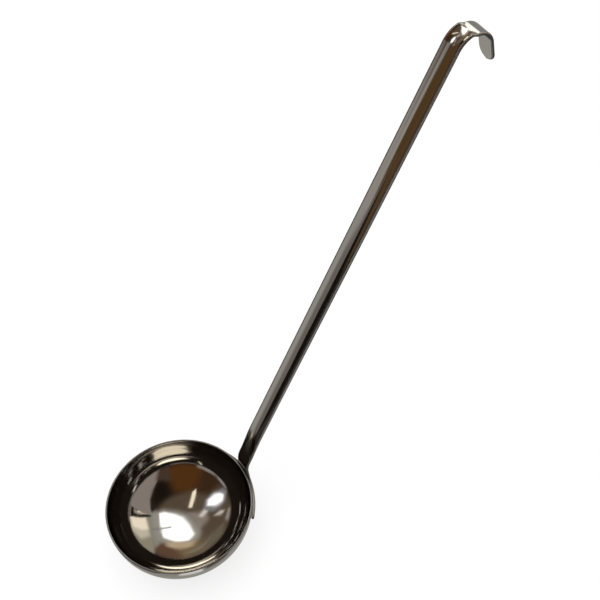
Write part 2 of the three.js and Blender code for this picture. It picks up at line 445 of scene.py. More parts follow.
# %% The bowl's tree: its surfaces
AROUND, ALONG, RIM_STEPS, FLAT_STEPS = 224, 84, 12, 4
outer = turned_surface(bowl_tree, AROUND, ALONG, wall_line(size["Rim radius"], size["Depth"], flat_angle))
inner_radius = bowl_calc("SUBTRACT", size["Rim radius"], size["Sheet"])
inner_depth = bowl_calc("SUBTRACT", size["Depth"], size["Sheet"])
inner = turned_surface(bowl_tree, AROUND, ALONG, wall_line(inner_radius, inner_depth, 0.0))
rim = turned_surface(bowl_tree, AROUND, RIM_STEPS, rim_line)
flat = turned_surface(bowl_tree, AROUND, FLAT_STEPS, flat_line)
close_tree(bowl_tree, join(bowl_tree, outer, inner, rim, flat), size["Material"])
print("tree", bowl_tree.name, len(bowl_tree.nodes), "nodes")

# %% Grow the bowl
bowl = grown(
    "ladle_bowl",
    bowl_tree,
    bowl_sizes,
    {
        "Rim radius": RIM_RADIUS,
        "Depth": BOWL_DEPTH,
        "Fullness": BOWL_FULLNESS,
        "Sheet": BOWL_SHEET,
        "Flat radius": FLAT_RADIUS,
        "Material": bowl_polish,
    },
)
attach(bowl, "root")
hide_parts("bowl")

# %% [markdown]
# ## The strap handle
# The handle is one pressed strap: a wide foot that hugs the wall, an upright neck, a long straight with a
# shallow channel, a hook and a flat tongue. It could be a curve with a bevel, but a bevel can't change
# its section along the way. Here each station along the strap has a place, a lean, a width and a rise of
# its edges, and the sections are joined into one closed skin.

# %% Strap sizes
STRAP_SHEET = 0.0018
STRAP_WIDTH = 0.0130
STRAP_TOP_WIDTH = 0.0130
STRAP_LENGTH = 0.3185
STRAP_LEAN = math.radians(26.5)
CHANNEL_DEPTH, CHANNEL_RUN_IN, CHANNEL_RUN_OUT, CHANNEL_OVER_HOOK = 0.00207, 0.024, 0.0036, 0.0128
NECK_WIDTH, NECK_HEIGHT, NECK_BEND_RADIUS = 0.0148, 0.0108, 0.020
HOOK_RADIUS, HOOK_SWEEP = 0.0112, math.radians(141)
TONGUE_LENGTH, TONGUE_WIDTH = 0.015, 0.012
FOOT_WIDTH, FOOT_LENGTH, FOOT_FLARE, FOOT_SHOULDER, FOOT_GAP = 0.066, 0.025, 0.001, 0.009, 0.0003
STRAP_OFFSET = FOOT_GAP + STRAP_SHEET / 2
print("strap", STRAP_LENGTH, "m at a lean of", round(math.degrees(STRAP_LEAN), 1), "degrees")


# %% Small helpers for the strap's path
def mix(a, b, share):
    return a + (b - a) * share


def smooth(low, high, value):
    share = min(max((value - low) / (high - low), 0.0), 1.0)
    return share * share * (3 - 2 * share)


def wall_at(drop):
    angle = math.acos((drop / BOWL_DEPTH) ** (BOWL_FULLNESS / 2))
    out = RIM_RADIUS * math.sin(angle) ** (2 / BOWL_FULLNESS)
    slope = RIM_RADIUS / BOWL_DEPTH * math.tan(angle) ** (2 / BOWL_FULLNESS - 2)
    return out, RIM_HEIGHT - drop, math.atan(slope)


def station(x, z, lean, width, rise):
    return {"x": x, "z": z, "lean": lean, "width": width, "rise": rise}


def ahead(lean, length):
    return math.sin(lean) * length, math.cos(lean) * length


print("wall 10 mm under the rim", [round(v, 4) for v in wall_at(0.010)])

# %% Foot and neck stations
FOOT_STEPS, SHOULDER_STEPS, UPRIGHT_STEPS, BEND_STEPS = 40, 32, 8, 20


def foot_stations():
    outline = []
    below = FOOT_LENGTH - FOOT_SHOULDER
    last = math.acos(STRAP_SHEET / FOOT_WIDTH)
    for i in range(FOOT_STEPS + 1):
        turn = last * (1 - i / FOOT_STEPS)
        outline.append((FOOT_SHOULDER + below * math.sin(turn), FOOT_WIDTH * math.cos(turn)))
    for i in range(1, SHOULDER_STEPS + 1):
        drop = FOOT_SHOULDER * (1 - i / SHOULDER_STEPS)
        outline.append((drop, mix(NECK_WIDTH, FOOT_WIDTH, smooth(FOOT_FLARE, FOOT_SHOULDER, drop))))
    found = []
    for drop, width in outline:
        x, z, lean = wall_at(drop)
        x += math.cos(lean) * STRAP_OFFSET
        z -= math.sin(lean) * STRAP_OFFSET
        hug = x / math.cos(lean)
        found.append(station(x, z, lean, width, hug - math.sqrt(hug**2 - width**2 / 4)))
    return found


def neck_stations(rim_end):
    found = []
    x, z, rise = rim_end["x"], rim_end["z"], rim_end["rise"]
    upright = NECK_HEIGHT - NECK_BEND_RADIUS * math.tan(STRAP_LEAN / 2)
    for i in range(1, UPRIGHT_STEPS + 1):
        up = upright * i / UPRIGHT_STEPS
        width = mix(NECK_WIDTH, STRAP_WIDTH, smooth(0, upright, up))
        found.append(station(x, z + up, 0.0, width, rise))
    middle, level = x + NECK_BEND_RADIUS, z + upright
    for i in range(1, BEND_STEPS + 1):
        lean = STRAP_LEAN * i / BEND_STEPS
        bend_x = middle - NECK_BEND_RADIUS * math.cos(lean)
        bend_z = level + NECK_BEND_RADIUS * math.sin(lean)
        found.append(station(bend_x, bend_z, lean, STRAP_WIDTH, rise))
    return found


stations = foot_stations()
stations += neck_stations(stations[-1])
print("foot and neck", len(stations), "stations")

# %% Straight, hook and tongue stations
RUN_IN_STEPS, STRAIGHT_STEPS, HOOK_STEPS, TIP_STEPS = 24, 40, 72, 24


def channel_rise(run, neck_rise):
    channel_end = STRAP_LENGTH + CHANNEL_OVER_HOOK
    pressed = mix(neck_rise, CHANNEL_DEPTH, smooth(0, CHANNEL_RUN_IN, run))
    return pressed * (1 - smooth(channel_end - CHANNEL_RUN_OUT, channel_end, run))


def straight_stations(neck_end):
    found = []
    runs = [CHANNEL_RUN_IN * i / RUN_IN_STEPS for i in range(1, RUN_IN_STEPS + 1)]
    runs += [mix(CHANNEL_RUN_IN, STRAP_LENGTH, i / STRAIGHT_STEPS) for i in range(1, STRAIGHT_STEPS + 1)]
    for run in runs:
        dx, dz = ahead(STRAP_LEAN, run)
        width = mix(STRAP_WIDTH, STRAP_TOP_WIDTH, run / STRAP_LENGTH)
        rise = channel_rise(run, neck_end["rise"])
        found.append(station(neck_end["x"] + dx, neck_end["z"] + dz, STRAP_LEAN, width, rise))
    return found


def hook_stations(top, neck_rise):
    found = []
    middle_x = top["x"] + HOOK_RADIUS * math.cos(STRAP_LEAN)
    middle_z = top["z"] - HOOK_RADIUS * math.sin(STRAP_LEAN)
    for i in range(1, HOOK_STEPS + 1):
        turn = HOOK_SWEEP * i / HOOK_STEPS
        lean = STRAP_LEAN + turn
        x = middle_x - HOOK_RADIUS * math.cos(lean)
        z = middle_z + HOOK_RADIUS * math.sin(lean)
        width = mix(STRAP_TOP_WIDTH, TONGUE_WIDTH, i / HOOK_STEPS)
        rise = channel_rise(STRAP_LENGTH + HOOK_RADIUS * turn, neck_rise)
        found.append(station(x, z, lean, width, rise))
    return found


def tongue_stations(hook_end):
    found = []
    last = math.acos(STRAP_SHEET / TONGUE_WIDTH)
    for i in range(TIP_STEPS + 1):
        turn = last * i / TIP_STEPS
        dx, dz = ahead(hook_end["lean"], TONGUE_LENGTH - TONGUE_WIDTH / 2 * (1 - math.sin(turn)))
        width = TONGUE_WIDTH * math.cos(turn)
        found.append(station(hook_end["x"] + dx, hook_end["z"] + dz, hook_end["lean"], width, 0.0))
    return found


neck_rise = stations[-1]["rise"]
stations += straight_stations(stations[-1])
stations += hook_stations(stations[-1], neck_rise)
stations += tongue_stations(stations[-1])
print("whole strap", len(stations), "stations, top at", round(max(s["z"] for s in stations), 4), "m")

# %% [markdown]
# Each section is a thin arc with half-round edges. The points stand closer together near the edges, so
# the smooth shading keeps the broad face and the round edge apart. The two ends shrink over half the
# sheet, which rounds them.

# %% One section of the strap
ACROSS, ROUND, NO_RISE = 36, 10, 1e-7


def section(place, shrink=1.0, beyond=0.0):
    half = place["width"] / 2 * shrink
    skin = STRAP_SHEET / 2 * shrink
    rise = place["rise"] * shrink
    flat = rise < NO_RISE
    sweep = 0.0 if flat else 2 * math.atan2(rise, half)
    radius = 0.0 if flat else (half**2 + rise**2) / (2 * rise)
    inset = 1 - skin / half if flat else 1 - skin / (radius * sweep)
    lean = place["lean"]

    def point(side, offset, beside):
        turn = side * sweep * inset
        across = side * half * inset if flat else radius * math.sin(turn)
        up = 0.0 if flat else radius * (1 - math.cos(turn))
        front = up + offset * math.cos(turn) + beside * math.sin(turn)
        sideways = across - offset * math.sin(turn) + beside * math.cos(turn)
        return (
            place["x"] - front * math.cos(lean) + math.sin(lean) * beyond,
            sideways,
            place["z"] + front * math.sin(lean) + math.cos(lean) * beyond,
        )

    sides = [-math.cos(math.pi * i / ACROSS) for i in range(ACROSS + 1)]
    arcs = [math.pi * i / ROUND for i in range(1, ROUND)]
    loop = [point(side, skin, 0.0) for side in sides]
    loop += [point(1.0, skin * math.cos(turn), skin * math.sin(turn)) for turn in arcs]
    loop += [point(side, -skin, 0.0) for side in reversed(sides)]
    loop += [point(-1.0, -skin * math.cos(turn), -skin * math.sin(turn)) for turn in arcs]
    return loop


print("one section has", len(section(stations[0])), "points")

# %% Join the sections into one skin
END_STEPS = 7


def rounded_end(place, way):
    turns = [math.pi / 2 * i / END_STEPS for i in range(1, END_STEPS)]
    return [section(place, math.cos(turn), way * STRAP_SHEET / 2 * math.sin(turn)) for turn in turns]


loops = list(reversed(rounded_end(stations[0], -1.0)))
loops += [section(place) for place in stations]
loops += rounded_end(stations[-1], 1.0)
count = len(loops[0])
points = [point for loop in loops for point in loop]
faces = []
for s in range(len(loops) - 1):
    here, further = s * count, (s + 1) * count
    for i in range(count):
        after = (i + 1) % count
        faces.append((here + i, further + i, further + after, here + after))
for first, turned in ((0, False), ((len(loops) - 1) * count, True)):
    middle = sum((Vector(points[first + i]) for i in range(count)), Vector()) / count
    points.append(tuple(middle))
    for i in range(count):
        pair = (first + i, first + (i + 1) % count)
        faces.append((*pair, len(points) - 1) if not turned else (pair[1], pair[0], len(points) - 1))
strap_mesh = bpy.data.meshes.new("ladle_handle")
strap_mesh.from_pydata(points, [], faces)
strap_mesh.shade_smooth()
print("handle", len(points), "points", len(faces), "faces")

# %% [markdown]
# The strap's polish runs along it, so its pattern needs a map that follows the metal: one number along
# the strap, one across. A UV map in metres gives both, and keeps the lines at the same size from foot to
# tongue. The cut edges were only deburred, not polished, so a number on the points marks them and the
# finish is duller there. Their colour is darker too, a painted shade that dims what the edges reflect.

# %% Map along and across the strap
MIDDLE = ACROSS // 2
travel = [0.0]
for before, after in zip(loops, loops[1:]):
    travel.append(travel[-1] + (Vector(after[MIDDLE]) - Vector(before[MIDDLE])).length)
girth = []
for loop in loops:
    ring = [0.0]
    for before, after in zip(loop, loop[1:]):
        ring.append(ring[-1] + (Vector(after) - Vector(before)).length)
    girth.append([value - ring[MIDDLE] for value in ring])
uv = strap_mesh.uv_layers.new(name="strap_map")
last_point = len(loops) * count - 1
for corner in strap_mesh.loops:
    row, column = divmod(min(corner.vertex_index, last_point), count)
    uv.data[corner.index].uv = (girth[row][column], travel[row])
print("strap runs", round(travel[-1], 4), "m")

# %% Turn the faces outwards and mark the cut edges
open_edges, volume = face_outwards(strap_mesh)
cap = (len(loops) - len(stations)) // 2
edge_marks = []
for row in range(len(loops)):
    at_end = row < cap or row >= len(loops) - cap
    for column in range(count):
        on_face = column % (count // 2) <= ACROSS
        edge_marks.append(1.0 if at_end or not on_face else 0.0)
edge_marks += [1.0, 1.0]
strap_mesh.attributes.new("strap_edge", "FLOAT", "POINT").data.foreach_set("value", edge_marks)
print(open_edges, "open edges,", volume, "mm3,", int(sum(edge_marks)), "points on cut edges")

# %% Handle finish
STRAP_COOL, STRAP_WARM = (0.525, 0.52, 0.51, 1.0), (0.55, 0.53, 0.50, 1.0)
handle_polish, tree, shader, coords = new_finish("handle_polish")
along = tree.nodes.new("ShaderNodeUVMap")
along.uv_map = "strap_map"
cut = tree.nodes.new("ShaderNodeAttribute")
cut.attribute_name = "strap_edge"
lines = use_group(tree, polish_lines, Vector=along.outputs["UV"], Lines=3200.0, Drawn_out=60.0)
haze = use_group(tree, hand_haze, Vector=coords, Size=0.022, Amount=0.05)
tint = use_group(tree, steel_tint, Vector=coords, Cool=STRAP_COOL, Warm=STRAP_WARM, Size=0.05)
dull = calc(tree, "MULTIPLY", cut.outputs["Fac"], EDGE_DULLER)
feed(tree, shader.inputs["Roughness"], calc(tree, "ADD", worn(tree, 0.085, haze, lines, 0.25), dull))
# Painted shade on the cut edges: their colour is darkened to dim what they reflect.
feed(tree, shader.inputs["Base Color"], with_painted_shade(tree, tint.outputs["Color"], cut.outputs["Fac"]))
grooved(tree, shader, lines.outputs["Height"], 0.06)
strap_mesh.materials.append(handle_polish)
handle = put("ladle_handle", strap_mesh)
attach(handle, "root")
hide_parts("handle")
print("finish", handle_polish.name)

# %% [markdown]
# ## Spot welds
# Three spot welds hold the foot. Each is a round mark where the electrode pressed: a low ring of metal
# with a shallow dent and a faint straw and blue heat tint. They repeat, so a tree turns one mark and sets
# it on points that are pulled onto the foot, wherever its surface is, and lined up with it. Two stand at
# the same height, turned to either side round the bowl, and one stands lower on the middle line, as on
# the solids.

# %% Weld sizes
WELD_RADIUS, WELD_CROWN = 0.0024, 0.0004
WELD_SPREAD, WELD_DROP, WELD_LOW_DROP = 0.036, 0.011, 0.018
WELD_TURN = WELD_SPREAD / 2 / RIM_RADIUS


def on_foot(drop):
    x, z, lean = wall_at(drop)
    outside = FOOT_GAP + STRAP_SHEET
    return x + math.cos(lean) * outside, z - math.sin(lean) * outside


side_reach, side_height = on_foot(WELD_DROP)
low_reach, low_height = on_foot(WELD_LOW_DROP)
print("side welds", round(side_height, 4), "m up, lower weld", round(low_height, 4), "m up")

# %% Weld finish
HEAT_MIDDLE, HEAT_OUTSIDE = (0.40, 0.385, 0.37, 1.0), (0.50, 0.49, 0.475, 1.0)
HEAT_RINGS = (
    (0.45, (0.44, 0.40, 0.34, 1.0)),
    (0.70, (0.43, 0.345, 0.24, 1.0)),
    (0.86, (0.33, 0.345, 0.40, 1.0)),
)
weld_metal, tree, shader, coords = new_finish("weld_metal")
reach = tree.nodes.new("ShaderNodeAttribute")
reach.attribute_name = "weld_reach"
heat = tree.nodes.new("ShaderNodeValToRGB")
heat.color_ramp.elements[0].color = HEAT_MIDDLE
heat.color_ramp.elements[1].color = HEAT_OUTSIDE
for place, colour in HEAT_RINGS:
    heat.color_ramp.elements.new(place).color = colour
feed(tree, heat.inputs[0], reach.outputs["Fac"])
feed(tree, shader.inputs["Base Color"], heat.outputs["Color"])
haze = use_group(tree, hand_haze, Vector=coords, Size=0.0025, Amount=0.16)
feed(tree, shader.inputs["Roughness"], calc(tree, "ADD", 0.24, haze.outputs["Haze"]))
pits = use_group(tree, polish_lines, Vector=coords, Lines=3000.0, Drawn_out=1.0)
grooved(tree, shader, pits.outputs["Height"], 0.18)
print("finish", weld_metal.name)

# %% The welds' tree: one mark
WELD_INPUTS = ["Weld radius", "Crown", "Turn", "Side reach", "Side height", "Low reach", "Low height"]
weld_tree, start, weld_sizes = new_tree("weld_rule", WELD_INPUTS, Foot="Object")
weld_calc = partial(calc, weld_tree)
size = start.outputs
MARK_AROUND, MARK_STEPS, BACK_STEPS = 48, 16, 3
DENT_DEPTH, DENT_FALL = 0.55, -9.0


def mark_line(share):
    hollow = weld_calc("EXPONENT", weld_calc("MULTIPLY", weld_calc("POWER", share, 2.0), DENT_FALL))
    dome = weld_calc("SUBTRACT", 1.0, weld_calc("POWER", share, 4.0))
    crown = weld_calc("SUBTRACT", dome, weld_calc("MULTIPLY", DENT_DEPTH, hollow))
    return weld_calc("MULTIPLY", share, size["Weld radius"]), weld_calc("MULTIPLY", crown, size["Crown"])


def back_line(share):
    height = weld_calc("MULTIPLY", weld_calc("SUBTRACT", share, 1.0), size["Crown"])
    return weld_calc("MULTIPLY", share, size["Weld radius"]), height


front = turned_surface(weld_tree, MARK_AROUND, MARK_STEPS, mark_line)
back = turned_surface(weld_tree, MARK_AROUND, BACK_STEPS, back_line)
position = weld_tree.nodes.new("GeometryNodeInputPosition").outputs[0]
mark_place = add_node(weld_tree, "ShaderNodeSeparateXYZ", Vector=position)
mark_out = from_axis(weld_tree, mark_place.outputs["X"], mark_place.outputs["Y"])
store = weld_tree.nodes.new("GeometryNodeStoreNamedAttribute")
store.data_type = "FLOAT"
store.domain = "POINT"
store.inputs["Name"].default_value = "weld_reach"
feed(weld_tree, store.inputs["Geometry"], join(weld_tree, front, back))
feed(weld_tree, store.inputs["Value"], weld_calc("DIVIDE", mark_out, size["Weld radius"]))
print("tree", weld_tree.name, "has its mark")

# %% The welds' tree: three places
WELD_COUNT = 3
order = weld_calc("SUBTRACT", weld_tree.nodes.new("GeometryNodeInputIndex").outputs[0], 1.0)
lower = weld_calc("SUBTRACT", 1.0, weld_calc("ABSOLUTE", order))


def side_or_low(name):
    side, low = size["Side " + name], size["Low " + name]
    return weld_calc("ADD", side, weld_calc("MULTIPLY", lower, weld_calc("SUBTRACT", low, side)))


from_middle = side_or_low("reach")
weld_turn = weld_calc("MULTIPLY", order, size["Turn"])
rough_place = add_node(
    weld_tree,
    "ShaderNodeCombineXYZ",
    X=weld_calc("MULTIPLY", from_middle, weld_calc("COSINE", weld_turn)),
    Y=weld_calc("MULTIPLY", from_middle, weld_calc("SINE", weld_turn)),
    Z=side_or_low("height"),
)
rough = rough_place.outputs[0]
spots = add_node(weld_tree, "GeometryNodePoints", Count=WELD_COUNT, Position=rough, Radius=0.001)
print("tree", weld_tree.name, "has", WELD_COUNT, "places")

# %% Pull the marks onto the foot
foot = add_node(weld_tree, "GeometryNodeObjectInfo", Object=size["Foot"])
touch = add_node(weld_tree, "GeometryNodeProximity")
touch.target_element = "FACES"
feed(weld_tree, touch.inputs[0], foot.outputs["Geometry"])
seat = touch.outputs["Position"]
seated = add_node(weld_tree, "GeometryNodeSetPosition", Geometry=spots.outputs[0], Position=seat)
surface = weld_tree.nodes.new("GeometryNodeSampleNearestSurface")
surface.data_type = "FLOAT_VECTOR"
feed(weld_tree, surface.inputs["Mesh"], foot.outputs["Geometry"])
feed(weld_tree, surface.inputs["Value"], weld_tree.nodes.new("GeometryNodeInputNormal").outputs[0])
aim = weld_tree.nodes.new("FunctionNodeAlignRotationToVector")
aim.axis = "Z"
feed(weld_tree, aim.inputs["Vector"], surface.outputs["Value"])
placed = add_node(
    weld_tree,
    "GeometryNodeInstanceOnPoints",
    Points=seated.outputs[0],
    Instance=store.outputs[0],
    Rotation=aim.outputs[0],
)
close_tree(weld_tree, placed.outputs[0], size["Material"])
print("tree", weld_tree.name, len(weld_tree.nodes), "nodes")

# %% Grow the welds
welds = grown(
    "ladle_spot_welds",
    weld_tree,
    weld_sizes,
    {
        "Foot": handle,
        "Weld radius": WELD_RADIUS,
        "Crown": WELD_CROWN,
        "Turn": WELD_TURN,
        "Side reach": side_reach,
        "Side height": side_height,
        "Low reach": low_reach,
        "Low height": low_height,
        "Material": weld_metal,
    },
)
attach(welds, "root")
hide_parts("spot_weld_left", "spot_weld_right", "spot_weld_lower")

# %% [markdown]
# ## Floor and light
# The ladle stands on a plain white floor. For the camera and for mirror rays, most of the floor's white
# is its own glow at strength 1, and the rest is a plain diffuse white that keeps the soft shadow. One
# broad lamp overhead and a weak sky light it.

# %% White floor
FLOOR_HALF, FLOOR_LEVEL, FLOOR_GLOW = 6, -0.0002, 0.8


def ray_mask(tree):
    path = tree.nodes.new("ShaderNodeLightPath")
    seen = calc(tree, "MAXIMUM", path.outputs["Is Camera Ray"], path.outputs["Is Glossy Ray"])
    return calc(tree, "MAXIMUM", seen, path.outputs["Is Transmission Ray"])


def bare_material(name):
    material = bpy.data.materials.new(name)
    material.use_nodes = True
    material.node_tree.nodes.clear()
    return material, material.node_tree


def blended(tree, share, first, second):
    both = tree.nodes.new("ShaderNodeMixShader")
    for socket, value in zip(both.inputs, (share, first.outputs[0], second.outputs[0])):
        feed(tree, socket, value)
    return both


def to_surface(tree, shader):
    feed(tree, tree.nodes.new("ShaderNodeOutputMaterial").inputs["Surface"], shader.outputs[0])


def plate(name, corners, material):
    mesh = bpy.data.meshes.new(name)
    mesh.from_pydata(corners, [], [tuple(range(len(corners)))])
    mesh.materials.append(material)
    piece = put(name, mesh)
    return piece


floor_white, tree = bare_material("floor_white")
paint = add_node(tree, "ShaderNodeBsdfDiffuse", Color=(0.92, 0.92, 0.92, 1.0))
glow = add_node(tree, "ShaderNodeEmission", Color=(1.0, 1.0, 1.0, 1.0), Strength=1.0)
to_surface(tree, blended(tree, calc(tree, "MULTIPLY", ray_mask(tree), FLOOR_GLOW), paint, glow))
square = ((-1, -1), (1, -1), (1, 1), (-1, 1))
floor_corners = [(x * FLOOR_HALF, y * FLOOR_HALF, FLOOR_LEVEL) for x, y in square]
floor = plate("floor", floor_corners, floor_white)
print("floor", tuple(floor.dimensions))

# %% Sky and lamp
SKY_LIGHT, LAMP_POWER, LAMP_PLACE = 0.5, 48.0, (-0.2, 0.2, 2.2)
world = bpy.data.worlds.new("studio_sky")
world.use_nodes = True
scene.world = world
tree = world.node_tree
background = tree.nodes["Background"]
background.inputs["Color"].default_value = (1.0, 1.0, 1.0, 1.0)
seen_as_white = calc(tree, "MULTIPLY", ray_mask(tree), 1.0 - SKY_LIGHT)
feed(tree, background.inputs["Strength"], calc(tree, "ADD", SKY_LIGHT, seen_as_white))
lamp_data = bpy.data.lights.new("overhead_lamp", "AREA")
lamp_data.shape = "RECTANGLE"
lamp_data.size, lamp_data.size_y = 2.4, 2.0
lamp_data.energy = LAMP_POWER
lamp = put("overhead_lamp", lamp_data)
lamp.location = LAMP_PLACE
lamp.visible_glossy = False
print("lamp", lamp_data.energy, "W")

# %% [markdown]
# ## Cards for the mirror
# A mirror needs something to show. A photographer hangs a dark tent round polished steel and puts pale,
# dark and white cards in it. The cards here do the same: mirror rays alone see them, so they don't change
# the floor or its shadow. A card is drawn as corners on a flat plan, in degrees, and a rule then lays the
# plan on the sky, on the floor or on a standing wall. Its edge fades out over a few degrees, by a number
# on its points.

# %% Rules that lay a card's plan in space
SKY_REACH, BOARD_REACH, LAYER_STEP = 1.6, 3.0, 0.012
FLOOR_START, FLOOR_GROWTH, FLOOR_MIDDLE, FLOOR_LIFT = 0.1, 30, 0.024, 0.0004


def mirror_only(piece):
    for ray in ("camera", "diffuse", "shadow", "transmission", "volume_scatter"):
        setattr(piece, "visible_" + ray, False)


def on_sky(a, b, layer):
    reach = SKY_REACH - LAYER_STEP * layer
    tilt = math.radians(math.hypot(a, b))
    turn = math.atan2(b, a)
    flat = reach * math.sin(tilt)
    return (flat * math.cos(turn), flat * math.sin(turn), RIM_HEIGHT + reach * math.cos(tilt))


def on_floor(turn, far, layer):
    reach = FLOOR_START * math.exp(far / FLOOR_GROWTH)
    turn = math.radians(turn)
    return (reach * math.cos(turn), FLOOR_MIDDLE + reach * math.sin(turn), FLOOR_LIFT + FLOOR_LIFT * layer)


def standing(turn, lift, layer):
    reach = BOARD_REACH - LAYER_STEP * layer
    turn = math.radians(turn)
    return (reach * math.cos(turn), reach * math.sin(turn), RIM_HEIGHT + reach * math.tan(math.radians(lift)))


print("floor plan: 0 and 100 are", [round(on_floor(0, far, 0)[0], 2) for far in (0, 100)], "m away")

# %% [markdown]
# Down in the bowl a ray meets the wall two or three times before it leaves. Light Path counts these
# meetings, so a card can be kept for the first one or for the later ones, and the bowl's wall and its
# dish are lit apart. It also knows how far a ray has come, so a card close to one spot can be kept from
# all that is farther away.

# %% A card's paint
KEPT_FOR = {
    "first": ("Glossy Depth", "LESS_THAN", 1.5),
    "later": ("Glossy Depth", "GREATER_THAN", 1.5),
    "close": ("Ray Length", "LESS_THAN", 0.2),
}


def card_paint(name, colour, strength, kept_for):
    material, tree = bare_material(name)
    fade = tree.nodes.new("ShaderNodeAttribute")
    fade.attribute_name = "fade"
    seen = fade.outputs["Fac"]
    if kept_for in KEPT_FOR:
        measure, rule, limit = KEPT_FOR[kept_for]
        value = tree.nodes.new("ShaderNodeLightPath").outputs[measure]
        seen = calc(tree, "MULTIPLY", seen, calc(tree, rule, value, limit))
    clear = tree.nodes.new("ShaderNodeBsdfTransparent")
    glow = add_node(tree, "ShaderNodeEmission", Color=(*colour, 1.0), Strength=strength)
    to_surface(tree, blended(tree, seen, clear, glow))
    return material


print("cards can be kept for", sorted(KEPT_FOR))

# %% A card's shape
FADE_STEPS, FILL_STEPS, EDGE_STEPS, LEAST_SHARE = 6, 8, 8, 0.1
cards_hung = []


def card_grid(corners, soft, place):
    outline = []
    for (a0, b0), (a1, b1) in zip(corners, corners[1:] + corners[:1]):
        outline += [(mix(a0, a1, i / EDGE_STEPS), mix(b0, b1, i / EDGE_STEPS)) for i in range(EDGE_STEPS)]
    size = len(outline)
    ca = sum(a for a, b in outline) / size
    cb = sum(b for a, b in outline) / size
    points, fades, faces = [], [], []
    for step in range(FADE_STEPS + FILL_STEPS):
        inside = max(0, step - FADE_STEPS + 1) / FILL_STEPS
        grown_by = soft * (1 - 2 * min(step, FADE_STEPS - 1) / (FADE_STEPS - 1))
        for a, b in outline:
            away = math.hypot(a - ca, b - cb)
            share = max(away + grown_by, LEAST_SHARE * away) / away * (1 - inside)
            points.append(place(mix(ca, a, share), mix(cb, b, share)))
            fades.append(smooth(0, FADE_STEPS - 1, step))
    for ring in range(FADE_STEPS + FILL_STEPS - 1):
        here, further = ring * size, (ring + 1) * size
        for i in range(size):
            after = (i + 1) % size
            faces.append((here + i, here + after, further + after, further + i))
    return points, faces, fades


def hang_card(name, rule, corners, colour, strength, soft, kept_for="all"):
    layer = len(cards_hung)
    points, faces, fades = card_grid(corners, soft, lambda a, b: rule(a, b, layer))
    mesh = bpy.data.meshes.new(name)
    mesh.from_pydata(points, [], faces)
    mesh.attributes.new("fade", "FLOAT", "POINT").data.foreach_set("value", fades)
    mesh.materials.append(card_paint(name + "_paint", colour, strength, kept_for))
    card = put(name, mesh)
    mirror_only(card)
    cards_hung.append(card)


print("cards can be hung")

# %% Dark tent
TENT_RADIUS, TENT_FOOT = 3.3, -0.4
tent_dark, tree = bare_material("tent_dark")
to_surface(tree, add_node(tree, "ShaderNodeEmission", Color=(0.030, 0.021, 0.016, 1.0), Strength=1.0))
tent_body = bmesh.new()
bmesh.ops.create_uvsphere(tent_body, u_segments=64, v_segments=32, radius=TENT_RADIUS)
bmesh.ops.delete(tent_body, geom=[v for v in tent_body.verts if v.co.z < TENT_FOOT], context="VERTS")
tent_mesh = bpy.data.meshes.new("dark_tent")
tent_body.to_mesh(tent_mesh)
tent_body.free()
tent_mesh.materials.append(tent_dark)
tent = put("dark_tent", tent_mesh)
mirror_only(tent)
print("tent radius", TENT_RADIUS, "m")

# %% [markdown]
# The strap lies almost flat to the view, so its channel shows the floor and the foot of the tent. A dark
# runner behind the ladle and a grey one beside it give the strap its dark and its light half. Their
# shared edge runs along the strap's own direction, so the edge stays in the middle of the channel from
# neck to hook. Smaller cards do the same for the hook and the tongue.

# %% Runners on the floor
edge = [(143.6, -14), (143.6, 106), (214, 106), (214, -14)]
hang_card("grey_runner", on_floor, edge, (0.22, 0.20, 0.18), 1.0, 2)
edge = [(176, -14), (176, 106), (216, 106), (216, -14)]
hang_card("pale_runner", on_floor, edge, (0.48, 0.46, 0.43), 1.0, 12)
edge = [(143.6, 106), (143.6, -6), (40, -6), (40, 106)]
hang_card("black_runner", on_floor, edge, (0.012, 0.009, 0.007), 1.0, 2)
edge = [(40, 16), (40, 106), (-100, 106), (-100, 16)]
hang_card("side_runner", on_floor, edge, (0.03, 0.025, 0.02), 1.0, 3)
edge = [(60, 28), (74, 34), (92, 40), (111, 48), (128, 72), (140, 92), (143.6, 106), (60, 106)]
hang_card("brown_runner", on_floor, edge, (0.13, 0.075, 0.035), 1.0, 3)
hang_card("tongue_card", on_floor, [(44, 18), (66, 18), (67, 36), (44, 36)], (0.476, 0.455, 0.42), 1.0, 1.5)
hang_card("side_far", on_floor, [(-100, 46), (-100, 106), (14, 106), (14, 46)], (0.20, 0.19, 0.18), 1.0, 6)
hang_card("hook_floor", on_floor, [(10, 42), (58, 42), (58, 106), (10, 106)], (0.34, 0.335, 0.33), 1.0, 3)
print(len(cards_hung), "cards hung")

# %% [markdown]
# The bowl's outside and its foot show the floor close by. White there would melt them into the
# background, so a grey card lies round the bowl, with a dark one behind it and with dark and white
# patches that give the belly its changes.

# %% Cards close to the bowl
hang_card("near_grey", on_floor, [(-184, -24), (-184, 9), (24, 9), (24, -24)], (0.38, 0.365, 0.34), 1.0, 3)
edge = [(-164, -15), (-164, 5), (-128, 5), (-128, -7), (-140, -9)]
hang_card("near_black", on_floor, edge, (0.02, 0.016, 0.012), 1.0, 3)
edge = [(22, -26), (22, 18), (60, 4), (146, 0), (146, -26)]
hang_card("near_back", on_floor, edge, (0.05, 0.043, 0.034), 1.0, 2)
edge = [(-112, -6), (-112, 12), (-96, 12), (-96, -6)]
hang_card("near_white", on_floor, edge, (1.0, 0.98, 0.95), 1.05, 2)
hang_card("near_dark", on_floor, [(-93, -5), (-93, 16), (-76, 16), (-76, -5)], (0.07, 0.06, 0.05), 1.0, 2)
print(len(cards_hung), "cards hung")

# %% [markdown]
# Past the floor the strap shows the foot of the tent, so boards stand there. A grey and a brown board
# share a slanted side, which carries the edge between light and dark on from the channel to the hook.

